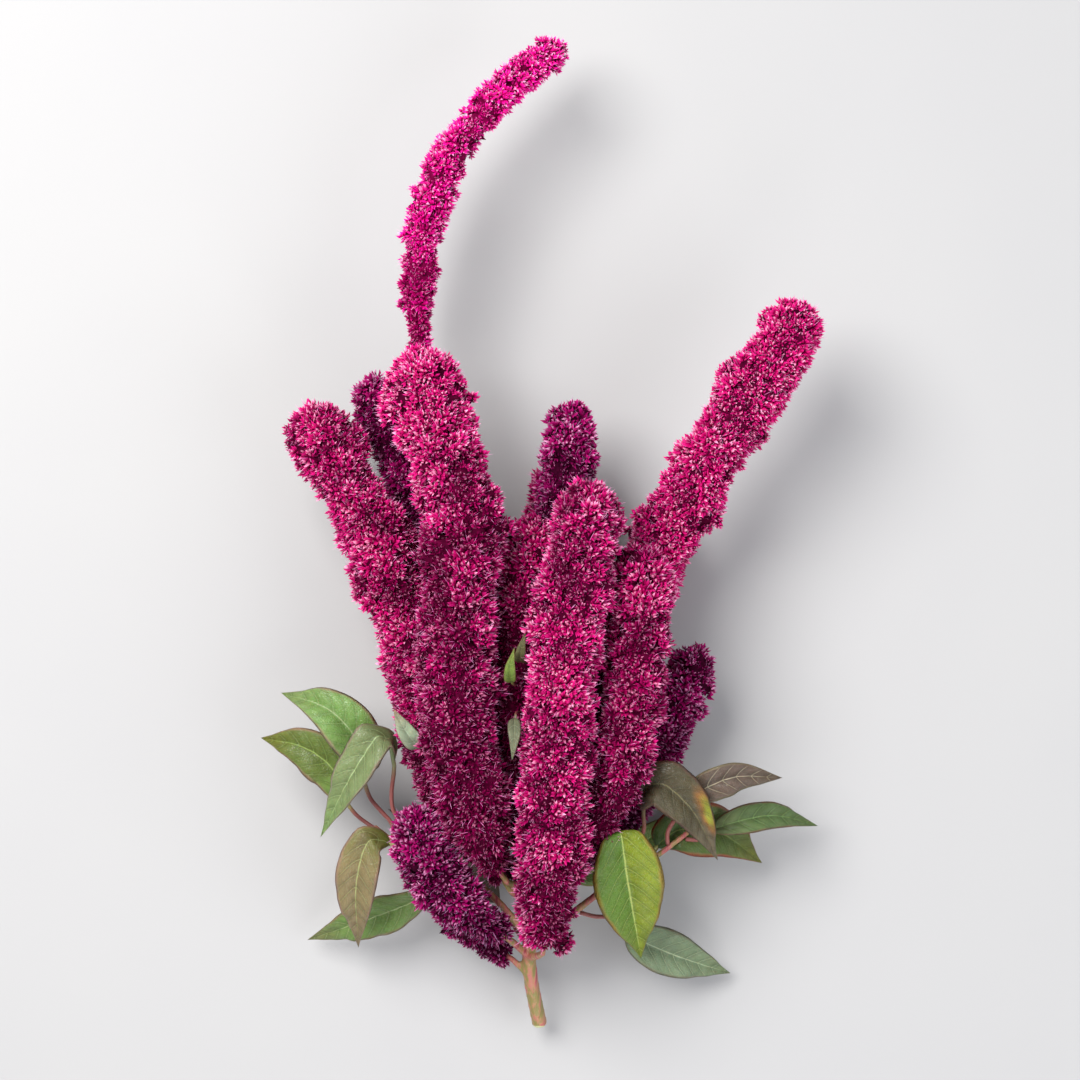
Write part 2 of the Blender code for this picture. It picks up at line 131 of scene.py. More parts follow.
class Graph:
    """A node tree of a material or of a Geometry Nodes modifier."""

    def __init__(self, tree):
        self.tree = tree

    def node(self, kind, settings=None, inputs=None):
        """One node, with its settings set first, and then the values of its sockets."""
        made = self.tree.nodes.new(kind)
        for name, value in (settings or {}).items():
            if name == "stops":
                self.set_stops(made.color_ramp, value)
            else:
                setattr(made, name, value)
        for name, value in (inputs or {}).items():
            value = getattr(value, "socket", value)
            if isinstance(value, bpy.types.NodeSocket):
                self.tree.links.new(value, made.inputs[name])
            else:
                made.inputs[name].default_value = value
        return made

    def set_stops(self, ramp, stops):
        while len(ramp.elements) < len(stops):
            ramp.elements.new(0.5)
        for element, (place, colour) in zip(ramp.elements, stops):
            element.position = place
            element.color = (*colour, 1)

    def value(self, kind, output, settings=None, inputs=None):
        return Value(self, self.node(kind, settings, inputs).outputs[output])

    def ramp(self, factor, stops):
        return self.node("ShaderNodeValToRGB", {"stops": stops}, {0: factor}).outputs[0]

    def mix(self, factor, first, second):
        """One colour over the other. Sockets 6, 7 and 2 are the node's for colours."""
        first, second = ((*c, 1) if isinstance(c, tuple) else c for c in (first, second))
        return self.node("ShaderNodeMix", {"data_type": "RGBA"},
                         {0: factor, 6: first, 7: second}).outputs[2]

    def noise(self, vector, scale, detail=3.0):
        return self.value("ShaderNodeTexNoise", "Fac", None,
                          {"Vector": vector, "Scale": scale, "Detail": detail})


class Finish(Graph):
    """A material of one Principled shader; its constants go on the shader's sockets."""

    def __init__(self, name, **constants):
        self.material = bpy.data.materials.new(name)
        self.material.use_nodes = True
        super().__init__(self.material.node_tree)
        self.shader = self.tree.nodes["Principled BSDF"]
        for socket, value in constants.items():
            self.shader.inputs[socket.replace("_", " ")].default_value = value

    def set(self, socket, value):
        self.tree.links.new(getattr(value, "socket", value), self.shader.inputs[socket])

    def bump(self, height, distance):
        made = self.node("ShaderNodeBump", None, {"Height": height, "Distance": distance})
        self.set("Normal", made.outputs[0])


def welded(node):
    """The solid of a CAD node, with its loose triangles joined at their corners."""
    bm = bmesh.new()
    bm.from_mesh(frame["nodes"][node].data)
    bmesh.ops.remove_doubles(bm, verts=bm.verts[:], dist=0.01 * MM)
    bm.verts.ensure_lookup_table()
    return bm


def new_piece(name, bm):
    mesh = bpy.data.meshes.new(name)
    bm.to_mesh(mesh)
    bm.free()
    made = bpy.data.objects.new(name, mesh)
    bpy.context.scene.collection.objects.link(made)
    return made


def bake_modifiers(piece):
    """The piece's mesh as its modifiers leave it, with the modifiers gone."""
    shown = piece.evaluated_get(bpy.context.evaluated_depsgraph_get())
    mesh = bpy.data.meshes.new_from_object(shown)
    piece.modifiers.clear()
    piece.data = mesh


def stands_for(piece, node):
    """The piece takes the place of a CAD node and moves with the head."""
    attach(piece, "root")
    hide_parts(node)


def stem_finish():
    finish = Finish("stem_skin", Roughness=0.42, Subsurface_Weight=0.08,
                    Subsurface_Scale=2 * MM)
    place = finish.node("ShaderNodeTexCoord").outputs["Object"]
    along = finish.node("ShaderNodeMapping", None, {
        "Vector": place, "Scale": (1.0, 0.05, 1.0)}).outputs[0]
    # Fibres and ridges run along the stem, because their pattern is drawn out that way.
    fibres = finish.noise(along, 1400.0, 2.0)
    ridges = finish.noise(along, 420.0, 2.0)
    patches = finish.noise(place, 45.0)
    parts = finish.node("ShaderNodeSeparateXYZ", None, {0: place})
    y, z = Value(finish, parts.outputs[1]), Value(finish, parts.outputs[2])
    low = z.between(55 * MM, 20 * MM)
    skin = finish.ramp(ridges * 1.3 + patches * 0.7 + fibres * 0.2 - 0.6 - low * 0.12, [
        (0.28, (0.24, 0.20, 0.06)), (0.42, (0.40, 0.20, 0.10)),
        (0.56, (0.46, 0.13, 0.12)), (0.74, (0.30, 0.035, 0.06))])
    cut = y.between(CUT_FACE, CUT_FACE - 0.5 * MM)
    finish.set("Base Color", finish.mix(cut, skin, (0.52, 0.55, 0.30)))
    finish.bump(ridges + fibres * 0.3, 0.9 * MM)
    return finish.material


stem = new_piece("stem_skin", welded("stem"))
remesh = stem.modifiers.new("skin", "REMESH")
remesh.mode = "VOXEL"
remesh.voxel_size = STEM_GRAIN
remesh.use_smooth_shade = True
smooth = stem.modifiers.new("smooth", "SMOOTH")
smooth.iterations = STEM_SMOOTHING
bake_modifiers(stem)
stem.data.materials.clear()
stem.data.materials.append(stem_finish())
stands_for(stem, "stem")


# The spikes
# Each spike is a stalk packed with glomerules, round clusters of tiny papery flowers with
# pointed tepals and thin bristles, deep crimson inside and pink at the tips. It grows on
# a branch of the stem, which runs up into its foot.

TEPAL_LENGTH = 3.8 * MM
TEPAL_WIDTH = 1.5 * MM
BRISTLES = 2                # in a tuft
BRISTLE_LENGTH = 5.0 * MM
BRISTLE_WIDTH = 0.42 * MM
BRISTLE_LEAN = (15, 65)     # the least and the most, in degrees
TEPAL_WIDEST, BRISTLE_WIDEST = 0.6, 0.2     # where they are, as shares of their length
SPINE_DEPTH = 0.55          # depth of a spine, as a share of its width
SPINE_ROOT = 0.3 * MM       # how far its root is from the middle of its tuft
# The rings of tepals in a tuft: how many, and the least and the most that they lean.
TUFT = ((2, 10, 28), (5, 34, 56), (7, 60, 88))
TUFT_PATTERNS = 12
# Some tepals get pale tips, painted glints where they would catch the light.
GLINT_SHARE = 0.26           # share of the tepals that have pale tips
TONE_WIDTH = 0.004          # spread of one spine's tones on the colour map
OUTWARD_SMOOTHING = 3
DEPTH_PATCHES = 52.0        # scale of the noise that sets glomerules deeper or higher
DEPTH_SPREAD = 9            # and how far it sets them, in millimetres
DENSEST = 1e6               # tufts a square metre, before those too near are dropped
UNDERSIDE_TUFTS = 0.35      # share of the tufts that the underside keeps
TONE_PATCHES = 60.0
# How much a tuft's tone changes with these patches, which are partly chance and partly
# painted shade, as the darker ones also hold smaller tufts that sink into pockets; from
# the middle of its glomerule to the rim, as painted shade in the gaps between glomerules;
# from one glomerule to another; near the spike's foot, as painted shade; and by chance.
PATCH_TONE, RIM_PAINTED_SHADE, GLOMERULE_TONE = 2.0, 0.80, 0.45
FOOT_PAINTED_SHADE, CHANCE_TONE = 0.70, 0.24
TABLE_CLEARANCE = 0.2 * MM
SEEDS_EACH = 10             # more than the salts that the nodes add to a spike's seed
# The bands of the colour map: tepals from dull to bright, the same with painted glints on
# their tips, bristles.
PLAIN, GLINT_TIPPED, BRISTLE, BAND = 0.03, 0.47, 0.93, 0.40
MAP = "OFBake"


def rings_from(row):
    """The vertices of a first row, those one edge away from it, and so on."""
    seen, rows = set(row), []
    while row:
        rows.append(row)
        following = []
        for vertex in row:
            for edge in vertex.link_edges:
                other = edge.other_vert(vertex)
                if other not in seen:
                    seen.add(other)
                    following.append(other)
        row = following
    return rows


def mark_spike(bm):
    """Stores what the florets need: the way to the tip, the way straight out, the middle
    of each glomerule, and where the socket is bare."""
    layers = bm.verts.layers
    tipward, outward = (layers.float_vector.new(name) for name in ("tipward", "outward"))
    along, glomerule, bare = (layers.float.new(name)
                              for name in ("along", "glomerule", "bare"))
    apex = max(bm.verts, key=lambda vertex: len(vertex.link_edges))
    rows = rings_from([apex])[::-1]
    socket, outer = rows[:2], rows[2:]
    centres = np.array([np.mean([v.co for v in row], axis=0) for row in outer])
    even = centres.copy()
    even[1:-1] = (centres[:-2] + 2 * centres[1:-1] + centres[2:]) / 4
    ways = np.gradient(even, axis=0)
    ways /= np.linalg.norm(ways, axis=1)[:, None]
    run = np.concatenate([[0], np.cumsum(np.linalg.norm(np.diff(even, axis=0), axis=1))])
    reach = {}
    for row, centre, way, share in zip(outer, even, ways, run / run[-1]):
        for vertex in row:
            away = np.array(vertex.co) - centre
            reach[vertex] = np.linalg.norm(away - way * (away @ way))
            vertex[tipward] = way
            vertex[along] = share
    for row in socket:
        for vertex in row:
            vertex[tipward] = ways[0]
            vertex[bare] = 1
    # The way out is the normal, evened out with those of the vertices around.
    bm.normal_update()
    facing = {vertex: vertex.normal.copy() for vertex in bm.verts}
    for _ in range(OUTWARD_SMOOTHING):
        facing = {vertex: (facing[vertex] + sum(
            (facing[edge.other_vert(vertex)] for edge in vertex.link_edges),
            Vector())).normalized() for vertex in bm.verts}
    for vertex, way in facing.items():
        vertex[outward] = way
    # In the middle of a glomerule a vertex stands out further than those around it.
    for vertex, own in reach.items():
        near = [reach[other] for edge in vertex.link_edges
                if (other := edge.other_vert(vertex)) in reach]
        vertex[glomerule] = own > np.mean(near)
    apex[glomerule] = 1


def add_spine(bm, marks, root, tip, width, widest, band):
    """One closed flat spine with a keel; widest is the share of its length at which it is
    broadest."""
    reach, side, on_map = marks
    way = (tip - root).normalized()
    across = way.cross(Vector((0, 0, 1))).normalized()
    middle = root.lerp(tip, widest) - across.cross(way) * width * SPINE_DEPTH
    corners = []
    for place, along, beside in ((root, 0, 0), (tip, 1, 0),
                                 (middle - across * width / 2, widest, -1),
                                 (middle + across * width / 2, widest, 1)):
        vertex = bm.verts.new(place)
        vertex[reach], vertex[side], vertex[on_map] = along, beside, band
        corners.append(vertex)
    for skipped in range(4):
        bm.faces.new(corners[:skipped] + corners[skipped + 1:])


def tuft_pattern(number):
    """A tuft: the tepals of a few little flowers, which stand out round one middle."""
    draw = random.Random(number)
    bm = bmesh.new()
    marks = [bm.verts.layers.float.new(name) for name in ("reach", "side", "band")]

    def spine(angle, lean, length, width, widest, band):
        way = Vector((math.cos(angle) * math.sin(lean), math.sin(angle) * math.sin(lean),
                      math.cos(lean)))
        add_spine(bm, marks, way * SPINE_ROOT, way * length, width, widest, band)

    for count, low, high in TUFT:
        turn = draw.uniform(0, 2 * math.pi)
        for k in range(count):
            spine(turn + 2 * math.pi * k / count + draw.uniform(-0.3, 0.3),
                  math.radians(draw.uniform(low, high)),
                  TEPAL_LENGTH * draw.uniform(0.68, 1.14),
                  TEPAL_WIDTH * draw.uniform(0.8, 1.1), TEPAL_WIDEST,
                  GLINT_TIPPED if draw.random() < GLINT_SHARE else PLAIN)
    for _ in range(BRISTLES):
        spine(draw.uniform(0, 2 * math.pi), math.radians(draw.uniform(*BRISTLE_LEAN)),
              BRISTLE_LENGTH * draw.uniform(0.8, 1.1), BRISTLE_WIDTH, BRISTLE_WIDEST,
              BRISTLE)
    bmesh.ops.recalc_face_normals(bm, faces=bm.faces[:])
    mesh = bpy.data.meshes.new(f"tuft_{number}")
    bm.to_mesh(mesh)
    bm.free()
    return bpy.data.objects.new(f"tuft_{number}", mesh)


def add_input(tree, name, kind, default=None):
    socket = tree.interface.new_socket(name, in_out="INPUT", socket_type=kind)
    if default is not None:
        socket.default_value = default


def floret_tree(patterns):
    """Geometry Nodes that clothe a spike: a core of round glomerules, with tufts all over
    it that stand out from the middle of each glomerule."""
    tree = bpy.data.node_groups.new("florets_on_a_spike", "GeometryNodeTree")
    add_input(tree, "Spike", "NodeSocketGeometry")
    add_input(tree, "Spacing", "NodeSocketFloat", 3.3 * MM)
    add_input(tree, "Size", "NodeSocketFloat", 1.0)
    add_input(tree, "Lean to tip", "NodeSocketFloat", 0.40)
    add_input(tree, "Disorder", "NodeSocketFloat", 0.5)
    add_input(tree, "Glomerule radius", "NodeSocketFloat", 4.5 * MM)
    add_input(tree, "Glomerule depth", "NodeSocketFloat", 5.6 * MM)
    add_input(tree, "Core depth", "NodeSocketFloat", 4.0 * MM)
    # A spike's brightness is partly its own tone and partly painted light and shade; its
    # tip gets painted light, and painted shade where the value is below 0.
    add_input(tree, "Brightness", "NodeSocketFloat", 0.5)
    add_input(tree, "Tip brightness", "NodeSocketFloat", 0.2)
    add_input(tree, "Seed", "NodeSocketInt", 1)
    add_input(tree, "Finish", "NodeSocketMaterial")
    tree.interface.new_socket("Florets", in_out="OUTPUT",
                              socket_type="NodeSocketGeometry")
    g = Graph(tree)
    given = g.node("NodeGroupInput").outputs
    here = g.node("GeometryNodeInputPosition").outputs[0]
    normal = g.node("GeometryNodeInputNormal").outputs[0]

    def named(name, kind="FLOAT"):
        return g.node("GeometryNodeInputNamedAttribute", {"data_type": kind},
                      {"Name": name}).outputs["Attribute"]

    # The node has a range for each kind of value: sockets 0 and 1 for a vector, 2 and 3
    # for a number, 4 and 5 for a whole number.
    def random_value(low, high, salt):
        return g.value("FunctionNodeRandomValue", 1, {"data_type": "FLOAT"},
                       {2: low, 3: high, "Seed": Value(g, given["Seed"]) + salt})

    def random_vector(salt):
        return g.node("FunctionNodeRandomValue", {"data_type": "FLOAT_VECTOR"},
                      {0: (-1, -1, -1), 1: (1, 1, 1),
                       "Seed": Value(g, given["Seed"]) + salt}).outputs[0]

    def vector_math(operation, first, second=None, scale=None, output=0):
        inputs = {0: first}
        if second is not None:
            inputs[1] = second
        if scale is not None:
            inputs["Scale"] = scale
        made = g.node("ShaderNodeVectorMath", {"operation": operation}, inputs)
        return made.outputs[output]

    def combined(x, y, z=0.0):
        return g.node("ShaderNodeCombineXYZ", None, {0: x, 1: y, 2: z}).outputs[0]

    def stored(geometry, name, value, kind, domain):
        return g.node("GeometryNodeStoreNamedAttribute",
                      {"data_type": kind, "domain": domain},
                      {"Geometry": geometry, "Name": name, "Value": value}).outputs[0]

    def moved(geometry, place):
        return g.node("GeometryNodeSetPosition", None,
                      {"Geometry": geometry, "Position": place}).outputs[0]

    # The middles of the glomerules, each below one peak of the solid spike.
    deep = (Value(g, given["Glomerule depth"]) * random_value(0.85, 1.2, 8)
            + (g.noise(here, DEPTH_PATCHES, 1.0) - 0.5) * DEPTH_SPREAD * MM)
    middles = g.node("GeometryNodeMeshToPoints", None, {
        "Mesh": given["Spike"], "Selection": Value(g, named("glomerule")) > 0.5,
        "Position": vector_math("SUBTRACT", here, vector_math(
            "SCALE", named("outward", "FLOAT_VECTOR"), scale=deep))}).outputs[0]

    def rounded(level):
        """The spike's surface, sunk a little and raised to the top of each glomerule."""
        surface = g.node("GeometryNodeSubdivisionSurface", None,
                         {"Mesh": given["Spike"], "Level": level}).outputs[0]
        outward = vector_math("NORMALIZE", named("outward", "FLOAT_VECTOR"))
        surface = moved(surface, vector_math("SUBTRACT", here, vector_math(
            "SCALE", outward, scale=given["Core depth"])))
        near = g.node("GeometryNodeProximity", {"target_element": "POINTS"},
                      {0: middles}).outputs
        to_middle = vector_math("SUBTRACT", near["Position"], here)
        rise = Value(g, vector_math("DOT_PRODUCT", to_middle, outward, output=1))
        radius = Value(g, given["Glomerule radius"])
        beside = Value(g, near["Distance"]) ** 2 - rise * rise
        height = (radius * radius - beside).at_least(0.0) ** 0.5
        lift = (rise + height).at_least(0.0)
        surface = stored(surface, "edge", beside ** 0.5 / radius, "FLOAT", "POINT")
        surface = moved(surface, vector_math("ADD", here, vector_math(
            "SCALE", outward, scale=lift)))
        from_middle = vector_math("SUBTRACT", here, near["Position"])
        way = vector_math("ADD", vector_math("NORMALIZE", from_middle), outward)
        surface = stored(surface, "away", way, "FLOAT_VECTOR", "POINT")
        nearest = g.node("GeometryNodeSampleNearest", None,
                         {"Geometry": middles, "Sample Position": here}).outputs[0]
        own = g.value("FunctionNodeRandomValue", 1, {"data_type": "FLOAT"},
                      {2: -0.5, 3: 0.5, "ID": nearest, "Seed": given["Seed"]})
        return stored(surface, "own tone", own, "FLOAT", "POINT")

    # The core takes the darkest tones of the map: deep crimson, darkened further as
    # painted shade deep between the tufts.
    core = stored(rounded(1), MAP, combined(random_value(0.04, 0.22, 1),
                                            random_value(0.00, 0.12, 2)),
                  "FLOAT2", "CORNER")
    core = g.node("GeometryNodeSetShadeSmooth", None, {"Geometry": core}).outputs[0]

    # The tufts: a point for each, turned out and towards the tip.
    level = g.node("ShaderNodeSeparateXYZ", None, {0: normal}).outputs[2]
    seen = UNDERSIDE_TUFTS + (1 - UNDERSIDE_TUFTS) * Value(g, level).between(-0.75, -0.25)
    dense = (seen * (1 - Value(g, named("bare")))
             * (1 - 0.2 * Value(g, named("edge")).between(0.8, 1.2)))
    points = g.node("GeometryNodeDistributePointsOnFaces",
                    {"distribute_method": "POISSON"},
                    {"Mesh": rounded(2), "Distance Min": given["Spacing"],
                     "Density Max": DENSEST, "Density Factor": dense,
                     "Seed": given["Seed"]}).outputs["Points"]
    patches = g.noise(here, TONE_PATCHES)
    rim = Value(g, named("edge")).between(0.5, 1.05)
    along = Value(g, named("along"))
    # A tuft's tone: the spike's brightness, partly its own tone and partly painted light
    # and shade; the patches; painted shade at the rim of each glomerule and at the spike's
    # foot; the glomerule's own tone; painted light at the tip; and chance.
    tone = (Value(g, given["Brightness"]) + (patches - 0.5) * PATCH_TONE
            - rim * RIM_PAINTED_SHADE + Value(g, named("own tone")) * GLOMERULE_TONE
            - (1 - along.between(0.0, 0.5)) * FOOT_PAINTED_SHADE
            + Value(g, given["Tip brightness"]) * along.between(0.6, 0.95)
            + random_value(-CHANCE_TONE, CHANCE_TONE, 3))
    points = stored(points, "tone", tone.between(-0.15, 1.15), "FLOAT", "POINT")
    lean = vector_math("SCALE", named("tipward", "FLOAT_VECTOR"),
                       scale=given["Lean to tip"])
    stray = vector_math("SCALE", random_vector(4), scale=given["Disorder"])
    way = vector_math("ADD", named("away", "FLOAT_VECTOR"), lean)
    way = vector_math("ADD", way, stray)
    spin = g.node("FunctionNodeEulerToRotation", None,
                  {0: combined(0.0, 0.0, random_value(0, 2 * math.pi, 5))}).outputs[0]
    turned = g.node("FunctionNodeAlignRotationToVector", {"axis": "Z"},
                    {"Rotation": spin, "Vector": way}).outputs[0]
    # Tufts are smaller where the patches are darker, so that this painted shade lies in
    # pockets.
    size = (Value(g, given["Size"]) * random_value(0.78, 1.18, 6)
            * (0.72 + 0.40 * patches.between(0.36, 0.58)))
    chosen = g.node("FunctionNodeRandomValue", {"data_type": "INT"},
                    {4: 0, 5: len(patterns) - 1,
                     "Seed": Value(g, given["Seed"]) + 7}).outputs[2]
    bunch = g.node("GeometryNodeJoinGeometry")
    for pattern in patterns:
        info = g.node("GeometryNodeObjectInfo", None,
                      {"Object": pattern, "As Instance": True})
        tree.links.new(info.outputs["Geometry"], bunch.inputs[0])
    placed = g.node("GeometryNodeInstanceOnPoints", None,
                    {"Points": points, "Instance": bunch.outputs[0],
                     "Pick Instance": True, "Instance Index": chosen,
                     "Rotation": turned, "Scale": combined(size, size, size)}).outputs[0]
    florets = g.node("GeometryNodeRealizeInstances", None, {0: placed}).outputs[0]
    band = Value(g, named("band"))
    tone = Value(g, named("tone")) * BAND * (1 - (band > BRISTLE - 0.01))
    florets = stored(florets, MAP, combined(
        0.04 + Value(g, named("reach")) * 0.92,
        band + tone + Value(g, named("side")) * TONE_WIDTH), "FLOAT2", "CORNER")

    joined = g.node("GeometryNodeJoinGeometry")
    tree.links.new(florets, joined.inputs[0])
    tree.links.new(core, joined.inputs[0])
    # What would dip under the table lies flat on it.
    parts = g.node("ShaderNodeSeparateXYZ", None, {0: here}).outputs
    above = Value(g, parts[2]).at_least(TABLE_CLEARANCE)
    rested = moved(joined.outputs[0], combined(parts[0], parts[1], above))
    done = g.node("GeometryNodeSetMaterial", None, {
        "Geometry": rested, "Material": given["Finish"]})
    g.node("NodeGroupOutput", None, {0: done.outputs[0]})
    return tree


def floret_finish(name, dull, bright, glint, bristle):
    """Papery tepals, some with pale tips that are painted glints. The map's first axis
    runs from root to tip, its second over the bands of tones."""
    finish = Finish(name, Specular_IOR_Level=0.16, Specular_Tint=(1.0, 0.40, 0.65, 1.0))
    place = finish.node("ShaderNodeUVMap", {"uv_map": MAP}).outputs[0]
    parts = finish.node("ShaderNodeSeparateXYZ", None, {0: place})
    reach, band = (Value(finish, parts.outputs[k]) for k in (0, 1))
    has_glint = band > GLINT_TIPPED - 0.02
    tone = (band - has_glint * GLINT_TIPPED - (1 - has_glint) * PLAIN) / BAND
    tepal = finish.mix(tone, finish.ramp(reach, dull), finish.ramp(reach, bright))
    # The glint is painted on the upper part of those tepals, paler on brighter tufts.
    tepal = finish.mix(has_glint * (0.25 + tone * 0.75) * reach.between(0.40, 0.85),
                       tepal, glint)
    finish.set("Base Color", finish.mix(band > BRISTLE - 0.02, tepal,
                                        finish.ramp(reach, bristle)))
    finish.set("Roughness", 1.0 - reach.between(0.05, 0.6) * 0.74)
    return finish.material


def give_inputs(modifier, tree, **values):
    """Sets a Geometry Nodes modifier's inputs, each by its socket's identifier."""
    sockets = {item.name: item.identifier for item in tree.interface.items_tree
               if item.in_out == "INPUT"}
    for name, value in values.items():
        modifier[sockets[name.replace("_", " ")]] = value


PALE_BRISTLE = [(0.0, (0.32, 0.01, 0.12)), (0.5, (0.78, 0.18, 0.50)),
                (1.0, (0.95, 0.60, 0.86))]
# Each finish: a dull tepal and a bright one from root to tip, a painted glint for the
# tips, and a bristle.
FLORET_LOOKS = {
    "floret_crimson": (
        [(0.0, (0.025, 0.000, 0.007)), (0.35, (0.085, 0.000, 0.021)),
         (0.80, (0.19, 0.001, 0.050)), (1.0, (0.34, 0.015, 0.13))],
        [(0.0, (0.10, 0.000, 0.026)), (0.35, (0.40, 0.000, 0.095)),
         (0.76, (0.72, 0.012, 0.210)), (1.0, (0.88, 0.05, 0.36))],
        (1.0, 0.43, 0.66), PALE_BRISTLE),
    "floret_pink": (
        [(0.0, (0.05, 0.000, 0.014)), (0.35, (0.22, 0.000, 0.05)),
         (0.80, (0.46, 0.001, 0.13)), (1.0, (0.70, 0.07, 0.32))],
        [(0.0, (0.10, 0.000, 0.03)), (0.35, (0.66, 0.000, 0.19)),
         (0.80, (0.95, 0.014, 0.40)), (1.0, (1.0, 0.10, 0.58))],
        (1.0, 0.46, 0.74), PALE_BRISTLE),
    "floret_purple": (
        [(0.0, (0.010, 0.000, 0.004)), (0.35, (0.045, 0.000, 0.015)),
         (0.80, (0.12, 0.000, 0.045)), (1.0, (0.26, 0.03, 0.13))],
        [(0.0, (0.03, 0.000, 0.011)), (0.35, (0.22, 0.000, 0.070)),
         (0.78, (0.45, 0.008, 0.165)), (1.0, (0.58, 0.06, 0.29))],
        (0.82, 0.36, 0.62),
        [(0.0, (0.12, 0.01, 0.07)), (0.5, (0.42, 0.14, 0.34)),
         (1.0, (0.72, 0.48, 0.72))]),
}
# Each spike: the tufts' spacing in millimetres, their size, how bright they are, which is
# partly the spike's own tone and partly painted light and shade, and how much painted
# light the spike's tip gets.
SPIKE_FLORETS = {
    "terminal_spike": (3.0, 0.92, 0.76, 0.2),
    "left_finger": (3.2, 1.0, 0.56, 0.1),
    "centre_left_finger": (3.2, 1.0, 0.30, 1.05),
    "centre_shoulder": (3.3, 1.0, 0.46, 0.3),
    "centre_right_finger": (3.2, 1.0, 0.76, -0.25),
    "right_finger": (3.2, 1.0, 0.90, 0.3),
    "right_shoulder": (3.2, 1.0, 0.42, 0.2),
    "left_low_spray": (3.2, 1.0, 0.52, 0.1),
    "foot_spray": (3.6, 0.95, 0.45, 0.2),
    "right_low_spray": (3.3, 1.0, 0.50, 0.2),
    "under_left_finger": (4.0, 1.1, 0.5, 0.2),
    "under_centre_finger": (4.0, 1.1, 0.5, 0.2),
    "under_right_finger": (4.0, 1.1, 0.5, 0.2),
    "back_finger": (3.6, 1.0, 0.5, 0.2),
    "left_back_finger": (3.6, 1.0, 0.5, 0.2),
}

patterns = [tuft_pattern(number) for number in range(TUFT_PATTERNS)]
florets_on_a_spike = floret_tree(patterns)
floret_finishes = {name: floret_finish(name, *look)
                   for name, look in FLORET_LOOKS.items()}
for number, (node, look) in enumerate(SPIKE_FLORETS.items()):
    spacing, size, bright, painted_tip_light = look
    bm = welded(node)
    mark_spike(bm)
    piece = new_piece(node + "_florets", bm)
    clothing = piece.modifiers.new("florets", "NODES")
    clothing.node_group = florets_on_a_spike
    give_inputs(clothing, florets_on_a_spike, Spacing=spacing * MM, Size=size,
                Brightness=bright, Tip_brightness=painted_tip_light, Seed=number * SEEDS_EACH,
                Finish=floret_finishes[slot_of[node]])
    # The thin spike at the top has smaller glomerules.
    if node == "terminal_spike":
        give_inputs(clothing, florets_on_a_spike, Glomerule_radius=3.8 * MM,
                    Glomerule_depth=4.0 * MM)
    bake_modifiers(piece)
    stands_for(piece, node)
for pattern in patterns:
    bpy.data.objects.remove(pattern)


# The leaves
# A leaf is a thin green or bronze blade with a pale midrib and curved side veins. It
# puffs up between the veins, and its margin waves. Its pink petiole grows from a branch
# of the stem, and a bract is a small leaf between the florets.

BLADE_ROW = 1.6 * MM        # length of one row of a blade
LEAST_ROWS = 10
HALF_COLUMNS = 7            # columns from the midrib to the margin
COLUMNS = np.linspace(-1, 1, 2 * HALF_COLUMNS + 1)
BLADE_THICKNESS = 0.34 * MM
PUFF = 0.75 * MM            # rise of the blade between two veins
RIPPLE = 0.30 * MM
RIPPLE_LENGTH = 8.5 * MM
ARCH = 0.10                 # rise of a half blade, as a share of its width
VEIN_SPACING = 7.2 * MM
VEIN_SWEEP = 1.15           # how far a vein runs up to the margin, in half widths
VEIN_CURVE = 1.4            # how strongly it curves, 1 for a straight vein
STALK_STEPS = 4             # rings of the petiole for each of its solid's
RIB_SIDES = 8
RIB_DEPTH = 0.45 * MM
RIB_TIP_RADIUS = 0.28 * MM
SOLID_MIDRIB = 0.35 * MM    # how far the solid's midrib stands out below its blade
NARROW = 5 * MM             # half a blade's width below which it lies flatter
# The leaf's colour map: where the upper side, the lower side and the strip of the petiole
# and midrib start, how wide they are, how much is left free at both ends, and how far up
# its strip the petiole reaches.
UPPER_AT, LOWER_AT, STRIP_AT = 0.02, 0.46, 0.91
SIDE_WIDTH, STRIP_WIDTH, MAP_END = 0.42, 0.07, 0.02
PETIOLE_REACH = 0.35
PETIOLE_COLOUR = (0.33, 0.105, 0.095)


def leaf_rings(bm):
    """A leaf's vertices in rings of six, from its petiole's round end to its tip."""
    for face in bm.faces:
        cap, row = {face}, [face]
        while row:
            row = [other for one in row for edge in one.edges for other in edge.link_faces
                   if other not in cap and other.normal.angle(face.normal) < 0.01]
            cap.update(row)
        corners = {vertex for one in cap for vertex in one.verts}
        if len(corners) != 6:
            continue
        rows = rings_from(list(corners))
        if all(len(ring) == 6 for ring in rows):
            rings = [np.array([vertex.co for vertex in ring]) for ring in rows]
            if roundness(rings[0]) > 0.9:
                return rings
    raise ValueError("this leaf has no round end")


def roundness(ring):
    """1 for a round ring of points, and nearly 0 for a flat one."""
    away = np.linalg.norm(ring - ring.mean(axis=0), axis=1)
    return away.min() / away.max()


def curve_through(points, at):
    """A smooth curve through points, read at places counted in points."""
    points = np.array(points)
    p = np.vstack([2 * points[0] - points[1], points, 2 * points[-1] - points[-2]])
    k = np.clip(np.floor(at).astype(int), 0, len(points) - 2)
    t = (at - k)[:, None]
    a, b, c, d = p[k], p[k + 1], p[k + 2], p[k + 3]
    return 0.5 * (2 * b + (c - a) * t + (2 * a - 5 * b + 4 * c - d) * t ** 2
                  + (3 * b - a - 3 * c + d) * t ** 3)


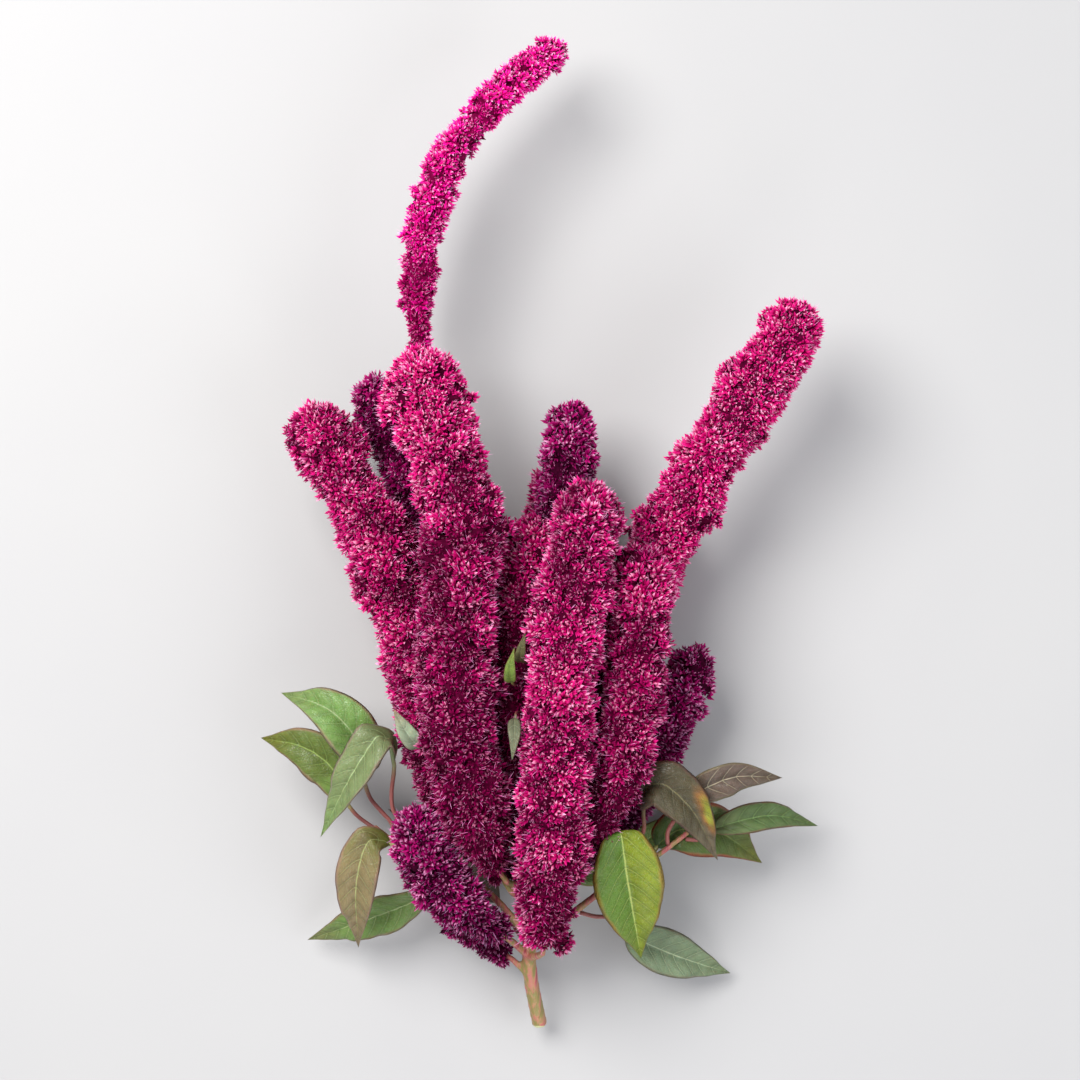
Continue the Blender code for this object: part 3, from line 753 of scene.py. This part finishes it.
def leaf_lines(node):
    """A leaf's petiole, midrib and two margins, and the way up, read from its solid."""
    bm = welded(node)
    rings = leaf_rings(bm)
    bm.free()
    centres = np.array([ring.mean(axis=0) for ring in rings])
    ways = np.gradient(centres, axis=0)
    ways /= np.linalg.norm(ways, axis=1)[:, None]
    spans = [np.linalg.norm(ring - c, axis=1).max() for ring, c in zip(rings, centres)]
    widest = int(np.argmax(spans))
    first = next(k for k, ring in enumerate(rings) if roundness(ring) < 0.9)
    # From the widest ring to the tip and then from it to the petiole, each ring is turned
    # the same way as the one before it.
    left, middle, right, up = {}, {}, {}, {}
    side = None
    for k in [*range(widest, len(rings) - 1), *range(widest - 1, first, -1)]:
        ring, centre, way = rings[k], centres[k], ways[k]
        axis = np.linalg.svd(ring - centre)[2][0]
        axis -= way * (axis @ way)
        axis /= np.linalg.norm(axis)
        if k == widest:
            widest_side = axis
        elif k == widest - 1:
            side = widest_side
        if side is not None and axis @ side < 0:
            axis = -axis
        side = axis
        order = np.argsort((ring - centre) @ side)
        pairs = [ring[order[i:i + 2]] for i in (0, 2, 4)]
        left[k], right[k] = pairs[0].mean(axis=0), pairs[2].mean(axis=0)
        up[k] = np.cross(side, way)
        middle[k] = sorted(pairs[1], key=lambda point: point @ up[k])
    rise = sum(((left[k] + right[k]) / 2 - sum(middle[k]) / 2) @ up[k] for k in up)
    if rise < 0:
        up = {k: -above for k, above in up.items()}
        left, right = right, left
        middle = {k: pair[::-1] for k, pair in middle.items()}
    rows = sorted(up)
    start, tip = centres[first], centres[-1]
    below = [middle[k][1] - up[k] * SOLID_MIDRIB for k in rows]
    return SimpleNamespace(
        stalk=centres[:first + 1], radius=spans[0],
        left=np.array([start, *(left[k] for k in rows), tip]),
        middle=np.array([start, *below, tip]),
        right=np.array([start, *(right[k] for k in rows), tip]),
        up=np.array([up[rows[0]], *(up[k] for k in rows), up[rows[-1]]]))


def tube_rings(path, radii, up, sides):
    """Rings of points round a path, each turned to its own way up."""
    ways = np.gradient(path, axis=0)
    ways /= np.linalg.norm(ways, axis=1)[:, None]
    rings = []
    for point, way, radius, above in zip(path, ways, radii, up):
        across = np.cross(way, above)
        across /= np.linalg.norm(across)
        over = np.cross(across, way)
        rings.append([point + radius * (across * math.cos(a) + over * math.sin(a))
                      for a in np.linspace(0, 2 * math.pi, sides, endpoint=False)])
    return rings


def blade_surface(lines, draw):
    """The middle surface of a blade in rows and columns: its points, the ways that they
    face, and how many side veins lie below each point."""
    length = np.linalg.norm(np.diff(lines.middle, axis=0), axis=1).sum()
    rows = max(LEAST_ROWS, round(length / BLADE_ROW))
    at = np.linspace(0, len(lines.middle) - 1, rows + 1)
    left, middle, right, up = (curve_through(line, at) for line in (
        lines.left, lines.middle, lines.right, lines.up))
    up /= np.linalg.norm(up, axis=1)[:, None]
    run = np.concatenate(
        [[0], np.cumsum(np.linalg.norm(np.diff(middle, axis=0), axis=1))])
    phases = [draw.uniform(0, 2 * math.pi) for _ in range(2)]
    veins = length / VEIN_SPACING
    points = np.empty((rows + 1, len(COLUMNS), 3))
    vein = np.empty(points.shape[:2])
    for j in range(rows + 1):
        for i, x in enumerate(COLUMNS):
            margin = left[j] if x < 0 else right[j]
            half = np.linalg.norm(margin - middle[j])
            broad = min(1, half / NARROW)
            vein[j, i] = (j / rows * veins
                          - VEIN_SWEEP * half / VEIN_SPACING * abs(x) ** VEIN_CURVE)
            lift = ARCH * half * 4 * (abs(x) - x * x)
            puff = math.sin(math.pi * (vein[j, i] % 1))
            lift += PUFF * broad * puff * (1 - abs(x) ** 3)
            lift += RIPPLE * broad * abs(x) ** 3 * math.sin(
                2 * math.pi * run[j] / RIPPLE_LENGTH + phases[int(x < 0)])
            points[j, i] = middle[j] + abs(x) * (margin - middle[j]) + up[j] * lift
    facing = np.cross(np.gradient(points, axis=1), np.gradient(points, axis=0))
    size = np.linalg.norm(facing, axis=2)[..., None]
    facing = np.where(size > 1e-12, facing / np.maximum(size, 1e-12), up[:, None])
    facing *= np.sign((facing * up[:, None]).sum(axis=2))[..., None]
    return SimpleNamespace(rows=rows, points=points, facing=facing, middle=middle, up=up,
                           vein=vein, veins=veins)


def lay(face, uv, places):
    """Gives a face's corners their places on the colour map."""
    for loop, place in zip(face.loops, places):
        loop[uv].uv = place


def add_blade(bm, uv, blade):
    """A blade's upper and lower sides, which meet at the margin, the foot and the tip."""
    on_vein = bm.verts.layers.float.new("vein")
    last = blade.rows - 1
    thick = BLADE_THICKNESS / 2 * (1 - 0.9 * COLUMNS ** 6)
    sides = {}
    for name, sign in (("upper", 1), ("lower", -1)):
        sides[name] = [[None if (sign < 0 and abs(x) == 1) else bm.verts.new(
                            blade.points[j, i] + sign * blade.facing[j, i] * thick[i])
                        for i, x in enumerate(COLUMNS)] for j in range(1, last + 1)]
    for j in range(last):
        for i in (0, len(COLUMNS) - 1):
            sides["lower"][j][i] = sides["upper"][j][i]
        for i in range(len(COLUMNS)):
            for side in sides.values():
                side[j][i][on_vein] = blade.vein[j + 1, i]
    tip = bm.verts.new(blade.points[-1, HALF_COLUMNS])
    foot = bm.verts.new(blade.points[0, HALF_COLUMNS])
    tip[on_vein], foot[on_vein] = blade.veins, 0
    rise = [MAP_END + (1 - 2 * MAP_END) * (j + 1) / blade.rows for j in range(last)]
    for name, start in (("upper", UPPER_AT), ("lower", LOWER_AT)):
        side = sides[name]
        across = [start + SIDE_WIDTH * (x + 1) / 2 for x in COLUMNS]
        for i in range(len(COLUMNS) - 1):
            for j in range(last - 1):
                corners = [(j, i), (j, i + 1), (j + 1, i + 1), (j + 1, i)]
                face = bm.faces.new([side[r][c] for r, c in corners])
                lay(face, uv, [(across[c], rise[r]) for r, c in corners])
            face = bm.faces.new((side[-1][i], side[-1][i + 1], tip))
            lay(face, uv, [(across[i], rise[-1]), (across[i + 1], rise[-1]),
                           (across[HALF_COLUMNS], 1 - MAP_END)])
            face = bm.faces.new((side[0][i + 1], side[0][i], foot))
            lay(face, uv, [(across[i + 1], rise[0]), (across[i], rise[0]),
                           (across[HALF_COLUMNS], MAP_END)])


def add_petiole(bm, uv, lines, blade):
    """The petiole, which runs on under the blade as its midrib."""
    stalk = curve_through(lines.stalk, np.linspace(
        0, len(lines.stalk) - 1, STALK_STEPS * (len(lines.stalk) - 1)))
    up = blade.up
    path = np.vstack([stalk[:-1], (blade.middle - up * RIB_DEPTH)[1:-1]])
    ups = np.vstack([np.repeat(up[:1], len(stalk) - 1, axis=0), up[1:-1]])
    radii = np.concatenate([np.full(len(stalk) - 1, lines.radius),
                            np.linspace(lines.radius, RIB_TIP_RADIUS, blade.rows - 1)])
    rings = [[bm.verts.new(point) for point in ring]
             for ring in tube_rings(path, radii, ups, RIB_SIDES)]
    reach = np.concatenate([np.linspace(MAP_END, PETIOLE_REACH, len(stalk) - 1),
                            np.linspace(PETIOLE_REACH, 1 - MAP_END, blade.rows)[1:]])
    for j in range(len(rings) - 1):
        for i in range(RIB_SIDES):
            after = (i + 1) % RIB_SIDES
            face = bm.faces.new((rings[j][i], rings[j][after],
                                 rings[j + 1][after], rings[j + 1][i]))
            lay(face, uv, [(STRIP_AT + STRIP_WIDTH * (i + q) / RIB_SIDES, reach[j + r])
                           for q, r in ((0, 0), (1, 0), (1, 1), (0, 1))])
    # Its round ends, each a small circle on the strip.
    for ring, place in ((rings[0], MAP_END), (rings[-1], 1 - MAP_END)):
        face = bm.faces.new(ring)
        lay(face, uv, [(0.94 + 0.02 * math.cos(a), place + 0.015 * math.sin(a))
                       for a in np.linspace(0, 2 * math.pi, RIB_SIDES, endpoint=False)])


def make_leaf(node, finish, draw):
    """A leaf that is laid through the lines of its solid."""
    lines = leaf_lines(node)
    blade = blade_surface(lines, draw)
    bm = bmesh.new()
    uv = bm.loops.layers.uv.new(MAP)
    add_blade(bm, uv, blade)
    add_petiole(bm, uv, lines, blade)
    bmesh.ops.recalc_face_normals(bm, faces=bm.faces[:])
    for face in bm.faces:
        face.smooth = True
    piece = new_piece(node + "_blade", bm)
    piece.data.materials.append(finish)
    return piece


def leaf_finish(name, foot, body, tip, margin, vein, lower, other=None, patch=None,
                veins=0.62):
    """A leaf's skin. Its map holds the upper side, the lower side and the petiole."""
    finish = Finish(name, Specular_IOR_Level=0.42, Subsurface_Weight=0.1,
                    Subsurface_Scale=1.5 * MM)
    place = finish.node("ShaderNodeUVMap", {"uv_map": MAP}).outputs[0]
    parts = finish.node("ShaderNodeSeparateXYZ", None, {0: place})
    u, v = Value(finish, parts.outputs[0]), Value(finish, parts.outputs[1])
    # Where a point lies: on which side, how far from the midrib and from a side vein.
    on_strip = u > STRIP_AT - 0.015
    is_lower = (u > LOWER_AT - 0.01) * (1 - on_strip)
    side = (u - UPPER_AT - is_lower * (LOWER_AT - UPPER_AT)) / (SIDE_WIDTH / 2) - 1
    x = abs(side)
    number = finish.value("ShaderNodeAttribute", "Fac", {"attribute_name": "vein"})
    to_vein = abs((number + 0.5).fraction() - 0.5)
    side_vein = (1 - to_vein.between(0.0, 0.045)) * (1 - x.between(0.6, 0.95))
    # Beside each side vein the blade dips into its groove; this band is painted shade
    # there.
    beside = to_vein.between(0.02, 0.09) * (1 - to_vein.between(0.09, 0.30))
    midrib = 1 - x.between(0.008, 0.042)
    mottling = finish.noise(place, 7.0, 4.0)
    fine = finish.noise(place, 75.0)
    mesh_of_veinlets = finish.value(
        "ShaderNodeTexVoronoi", "Distance", {"feature": "DISTANCE_TO_EDGE"},
        {"Vector": place, "Scale": 52.0}).between(0.0, 0.16)
    rough = mottling - 0.5
    # The blade from foot to tip, and over that its halves, patch, mottling, painted shade
    # beside the side veins, and veins.
    # From foot to tip: the foot's colour is partly the leaf's own and partly painted,
    # darker as painted shade where it lies near the head, and on leaf_left_lower lighter
    # as a painted highlight.
    skin = finish.mix((v + rough * 0.3).between(0.02, 0.42), foot, body)
    skin = finish.mix((v + rough * 0.3).between(0.58, 0.98), skin, tip)
    # One half takes the other colour; the difference between the halves is painted light,
    # the greener half standing for a sky reflection.
    if other:
        skin = finish.mix((side * -1).between(-0.05, 0.12) * 0.9, skin, other)
    if patch:
        across, along, colour, rim = patch
        far = ((side - across) ** 2 * 0.10 + (v - along) ** 2) ** 0.5 + rough * 0.12
        skin = finish.mix(1 - far.between(0.09, 0.20), skin, rim)
        skin = finish.mix(1 - far.between(0.03, 0.13), skin, colour)
    # A darker body colour, for the mottling and for the painted shade beside the veins.
    mottle_and_groove_shade = tuple(0.45 * value for value in body)
    skin = finish.mix(mottling.between(0.42, 0.68) * 0.40, skin, mottle_and_groove_shade)
    skin = finish.mix(beside * 0.30 + fine * 0.16, skin, mottle_and_groove_shade)
    skin = finish.mix((x + rough * 0.25).between(0.80, 1.0) * 0.8, skin, margin)
    skin = finish.mix((1 - mesh_of_veinlets) * 0.10, skin, vein)
    skin = finish.mix(side_vein * veins, skin, vein)
    skin = finish.mix(midrib * 0.9, skin, vein)
    below = finish.mix(side_vein * 0.5 + midrib * 0.4, lower, vein)
    skin = finish.mix(is_lower, skin, below)
    rib = finish.mix(v.between(PETIOLE_REACH - 0.08, PETIOLE_REACH + 0.05),
                     PETIOLE_COLOUR, vein)
    finish.set("Base Color", finish.mix(on_strip, skin, rib))
    finish.set("Roughness", 0.27 + fine * 0.2)
    finish.bump(fine * 0.5 + mesh_of_veinlets * 0.7 - side_vein + rough, 0.16 * MM)
    return finish.material


# Each leaf: the colours of its foot, body, tip and margin, of its veins and of its lower
# side; where it has them, the colour of its other half and that of a patch, with the
# patch's place across and along; and how strong its side veins are. A darker foot is
# partly painted shade near the head, and the difference between the halves is painted
# light, the greener half standing for a sky reflection.
LEAF_LOOKS = {
    "leaf_left_upper": dict(
        foot=(0.075, 0.065, 0.028), body=(0.150, 0.285, 0.062), tip=(0.23, 0.31, 0.10),
        margin=(0.36, 0.25, 0.18), vein=(0.30, 0.38, 0.17), lower=(0.24, 0.25, 0.16)),
    # Its bright green foot is a painted highlight.
    "leaf_left_lower": dict(
        foot=(0.17, 0.30, 0.065), body=(0.105, 0.155, 0.024), tip=(0.170, 0.165, 0.010),
        margin=(0.38, 0.22, 0.15), vein=(0.26, 0.36, 0.09), lower=(0.22, 0.25, 0.13)),
    "leaf_left_slanting": dict(
        foot=(0.085, 0.085, 0.040), body=(0.17, 0.225, 0.085), tip=(0.22, 0.35, 0.11),
        margin=(0.34, 0.23, 0.19), vein=(0.34, 0.45, 0.20), lower=(0.25, 0.21, 0.18)),
    "leaf_left_hanging": dict(
        foot=(0.105, 0.125, 0.014), body=(0.24, 0.185, 0.085), tip=(0.26, 0.19, 0.11),
        margin=(0.38, 0.22, 0.17), vein=(0.36, 0.40, 0.16), lower=(0.26, 0.16, 0.14)),
    "leaf_low_left": dict(
        foot=(0.09, 0.15, 0.035), body=(0.13, 0.235, 0.048), tip=(0.19, 0.18, 0.07),
        margin=(0.22, 0.14, 0.08), vein=(0.33, 0.40, 0.18), lower=(0.24, 0.22, 0.16)),
    "leaf_right_large": dict(
        foot=(0.095, 0.20, 0.018), body=(0.105, 0.215, 0.018), tip=(0.18, 0.25, 0.016),
        margin=(0.40, 0.22, 0.045), vein=(0.42, 0.50, 0.13), lower=(0.24, 0.29, 0.12),
        other=(0.215, 0.265, 0.008)),
    "leaf_right_bronze": dict(
        foot=(0.090, 0.070, 0.058), body=(0.070, 0.058, 0.026), tip=(0.20, 0.16, 0.10),
        margin=(0.13, 0.070, 0.05), vein=(0.17, 0.15, 0.065), lower=(0.20, 0.13, 0.12),
        patch=(-0.70, 0.66, (0.32, 0.34, 0.02), (0.30, 0.12, 0.02)), veins=0.25),
    "leaf_right_red_edged": dict(
        foot=(0.030, 0.075, 0.014), body=(0.075, 0.125, 0.018), tip=(0.16, 0.16, 0.018),
        margin=(0.36, 0.045, 0.035), vein=(0.19, 0.25, 0.055), lower=(0.19, 0.22, 0.10)),
    "leaf_right_grey": dict(
        foot=(0.085, 0.072, 0.040), body=(0.100, 0.066, 0.050), tip=(0.14, 0.105, 0.07),
        margin=(0.22, 0.19, 0.10), vein=(0.42, 0.37, 0.25), lower=(0.16, 0.12, 0.11),
        veins=0.85),
    "leaf_right_long": dict(
        foot=(0.13, 0.17, 0.06), body=(0.085, 0.145, 0.042), tip=(0.11, 0.17, 0.05),
        margin=(0.18, 0.07, 0.05), vein=(0.21, 0.33, 0.10), lower=(0.20, 0.22, 0.14)),
    "leaf_low_right": dict(
        foot=(0.15, 0.22, 0.11), body=(0.17, 0.24, 0.13), tip=(0.19, 0.25, 0.12),
        margin=(0.20, 0.20, 0.13), vein=(0.38, 0.46, 0.28), lower=(0.26, 0.29, 0.21),
        veins=0.7),
    "leaf_under_left": dict(
        foot=(0.13, 0.11, 0.08), body=(0.15, 0.12, 0.09), tip=(0.18, 0.13, 0.10),
        margin=(0.20, 0.13, 0.10), vein=(0.34, 0.30, 0.22), lower=(0.22, 0.18, 0.15),
        veins=0.7),
    "leaf_under_right": dict(
        foot=(0.10, 0.18, 0.035), body=(0.12, 0.20, 0.04), tip=(0.16, 0.20, 0.04),
        margin=(0.22, 0.15, 0.05), vein=(0.30, 0.38, 0.11), lower=(0.22, 0.25, 0.13)),
    "bract_green": dict(
        foot=(0.16, 0.26, 0.05), body=(0.19, 0.30, 0.05), tip=(0.30, 0.36, 0.08),
        margin=(0.30, 0.18, 0.08), vein=(0.32, 0.42, 0.12), lower=(0.26, 0.30, 0.14)),
    "bract_grey": dict(
        foot=(0.15, 0.17, 0.09), body=(0.19, 0.21, 0.125), tip=(0.24, 0.25, 0.15),
        margin=(0.24, 0.17, 0.13), vein=(0.34, 0.37, 0.23), lower=(0.28, 0.26, 0.20)),
    "bract_olive": dict(
        foot=(0.11, 0.12, 0.04), body=(0.15, 0.15, 0.06), tip=(0.20, 0.17, 0.08),
        margin=(0.22, 0.13, 0.08), vein=(0.30, 0.30, 0.14), lower=(0.22, 0.19, 0.12)),
    "bract_pale": dict(
        foot=(0.16, 0.14, 0.11), body=(0.38, 0.47, 0.31), tip=(0.45, 0.30, 0.20),
        margin=(0.46, 0.40, 0.30), vein=(0.52, 0.58, 0.42), lower=(0.20, 0.17, 0.15)),
}
leaf_nodes = [n for n in sorted(frame["nodes"]) if n.startswith(("leaf_", "bract_"))]
for number, node in enumerate(leaf_nodes):
    finish = leaf_finish(node + "_skin", **LEAF_LOOKS[node])
    leaf = make_leaf(node, finish, random.Random(number))
    stands_for(leaf, node)


# The table, the light and the camera
# The head lies on a plain pale table in soft light from a large window. The camera looks
# straight down on it, with the tips of the spikes at the top.

TABLE_REACH = 8.0
AIM_HEIGHT = 0.05           # of the point that the lamps are turned to
FRAME_SIDE = 0.495          # side of the square that the picture takes in
CAMERA_HEIGHT = 1.30
SUBJECT_HEIGHT = 0.06
SENSOR_WIDTH = 36

low, high = cad_box
middle = (low + high) / 2
bm = bmesh.new()
bmesh.ops.create_grid(bm, x_segments=1, y_segments=1, size=TABLE_REACH)
floor = new_piece("table_top", bm)
floor.location = (middle.x, middle.y, 0)
ground = Finish("pale_table", Roughness=0.8)
mottle = ground.noise(ground.node("ShaderNodeTexCoord").outputs["Object"], 6.0)
ground.set("Base Color", ground.mix(mottle, (0.45, 0.45, 0.46), (0.48, 0.48, 0.48)))
floor.data.materials.append(ground.material)


def add_light(name, place, side, power, colour):
    light = bpy.data.lights.new(name, "AREA")
    light.shape = "DISK"
    light.size = side
    light.energy = power
    light.color = colour
    lamp = bpy.data.objects.new(name, light)
    lamp.location = place
    way = Vector((middle.x, middle.y, AIM_HEIGHT)) - Vector(place)
    lamp.rotation_euler = way.to_track_quat("-Z", "Y").to_euler()
    bpy.context.scene.collection.objects.link(lamp)


add_light("window", (-0.60, 0.60, 1.20), 1.0, 31, (1.0, 0.98, 0.95))
add_light("reflector", (0.95, -0.35, 0.9), 1.0, 6, (0.93, 0.96, 1.0))
add_light("low_window", (0.1, -1.1, 0.7), 0.8, 5, (1.0, 0.97, 0.95))

bpy.context.scene.view_settings.view_transform = "Standard"
world = bpy.data.worlds.new("soft_room")
world.use_nodes = True
world.node_tree.nodes["Background"].inputs[0].default_value = (0.92, 0.94, 1.0, 1)
world.node_tree.nodes["Background"].inputs[1].default_value = 0.45
bpy.context.scene.world = world

lens = bpy.data.cameras.new("camera")
lens.sensor_width = SENSOR_WIDTH
lens.lens = SENSOR_WIDTH * (CAMERA_HEIGHT - SUBJECT_HEIGHT) / FRAME_SIDE
camera = bpy.data.objects.new("camera", lens)
camera.location = (middle.x, middle.y, CAMERA_HEIGHT)
bpy.context.scene.collection.objects.link(camera)
bpy.context.scene.camera = camera
